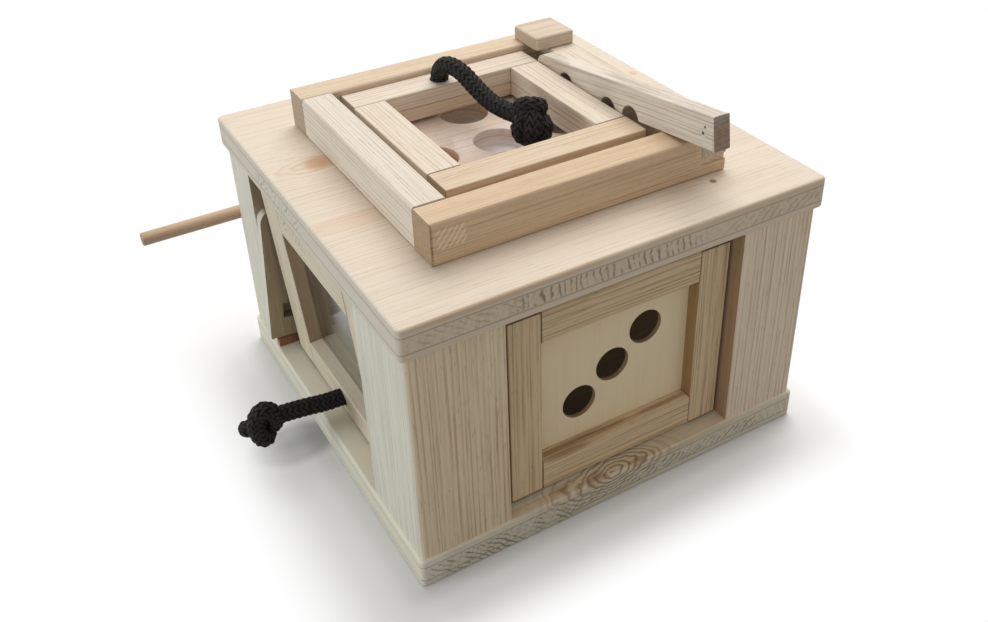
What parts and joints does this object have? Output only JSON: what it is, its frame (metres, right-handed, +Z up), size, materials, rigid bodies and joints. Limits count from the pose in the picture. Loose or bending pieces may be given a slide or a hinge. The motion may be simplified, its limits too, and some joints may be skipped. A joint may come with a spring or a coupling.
{
  "type": "dog puzzle feeder toy",
  "caption": "Wooden puzzle box for dogs: treat wells under a lift-off lid with a rope, a tilting lever, a turning block, hanging flaps and a sliding rod.",
  "frame": {"origin": "middle of the base board's flat underside", "axes": "+Z up, -Y to the front with the paw-hole flap, +X to the right, where the lever lies beside the lid"},
  "size_m": [0.3695, 0.313, 0.2551],
  "materials": {
    "board_wood": "sanded spruce",
    "wall_wood": "sanded pine",
    "frame_wood": "sanded pine",
    "plywood": "sanded birch plywood",
    "beech": "sanded beech",
    "acrylic": "clear polished acrylic",
    "rope": "braided polyester"
  },
  "bodies": {
    "box": {"back_wall_board": "wall_wood", "base_board": "board_wood", "frame_back_bar": "frame_wood", "frame_front_bar": "frame_wood", "frame_left_bar": "frame_wood", "frame_right_bar": "frame_wood", "front_flap_pins": "beech", "front_left_board": "wall_wood", "front_right_board": "wall_wood", "lap_shim": "frame_wood", "left_flap_pins": "beech", "left_front_board": "wall_wood", "left_rear_board": "wall_wood", "left_rod_guide": "frame_wood", "lever_pin": "beech", "right_rod_guide": "frame_wood", "right_wall_board": "wall_wood", "sill_block": "wall_wood", "stop_bar": "frame_wood", "top_board": "board_wood"},
    "lid": {"lid_back_rail": "frame_wood", "lid_front_rail": "frame_wood", "lid_left_stile": "frame_wood", "lid_lower_back_rail": "frame_wood", "lid_lower_front_rail": "frame_wood", "lid_lower_left_stile": "frame_wood", "lid_lower_right_stile": "frame_wood", "lid_pane": "acrylic", "lid_right_stile": "frame_wood", "lid_rope": "rope", "lid_rope_knot": "rope"},
    "lever": {"lever_bar": "frame_wood"},
    "turn_block": {"turn_block": "frame_wood", "turn_block_pin": "beech"},
    "front_flap": {"front_flap_bottom_rail": "frame_wood", "front_flap_left_stile": "frame_wood", "front_flap_panel": "plywood", "front_flap_right_stile": "frame_wood", "front_flap_top_rail": "frame_wood"},
    "left_flap": {"inner_rope_knot": "rope", "left_flap_bottom_rail": "frame_wood", "left_flap_front_stile": "frame_wood", "left_flap_pane": "acrylic", "left_flap_rear_stile": "frame_wood", "left_flap_rope": "rope", "left_flap_top_rail": "frame_wood", "left_rope_knot": "rope"},
    "rod": {"back_rod": "beech"}
  },
  "joints": [
    {"name": "lid_lift", "type": "slide", "parent": "box", "child": "lid", "axis": [0, 0, 1], "range_m": [0, 0.06]},
    {"name": "lever_tilt", "type": "hinge", "parent": "box", "child": "lever", "pos_m": [0.072, 0.051, 0.2177], "axis": [-1, 0, 0], "range_deg": [0, 45]},
    {"name": "block_turn", "type": "hinge", "parent": "box", "child": "turn_block", "pos_m": [0.0905, 0.088, 0.231], "axis": [0, 0, 1], "continuous": true},
    {"name": "front_flap_swing", "type": "hinge", "parent": "box", "child": "front_flap", "pos_m": [0.004, -0.127, 0.153], "axis": [-1, 0, 0], "range_deg": [-20, 75]},
    {"name": "left_flap_swing", "type": "hinge", "parent": "box", "child": "left_flap", "pos_m": [-0.133, 0.00575, 0.153], "axis": [0, 1, 0], "range_deg": [-12, 60]},
    {"name": "rod_slide", "type": "slide", "parent": "box", "child": "rod", "axis": [-1, 0, 0], "range_m": [-0.06, 0.06]}
  ]
}
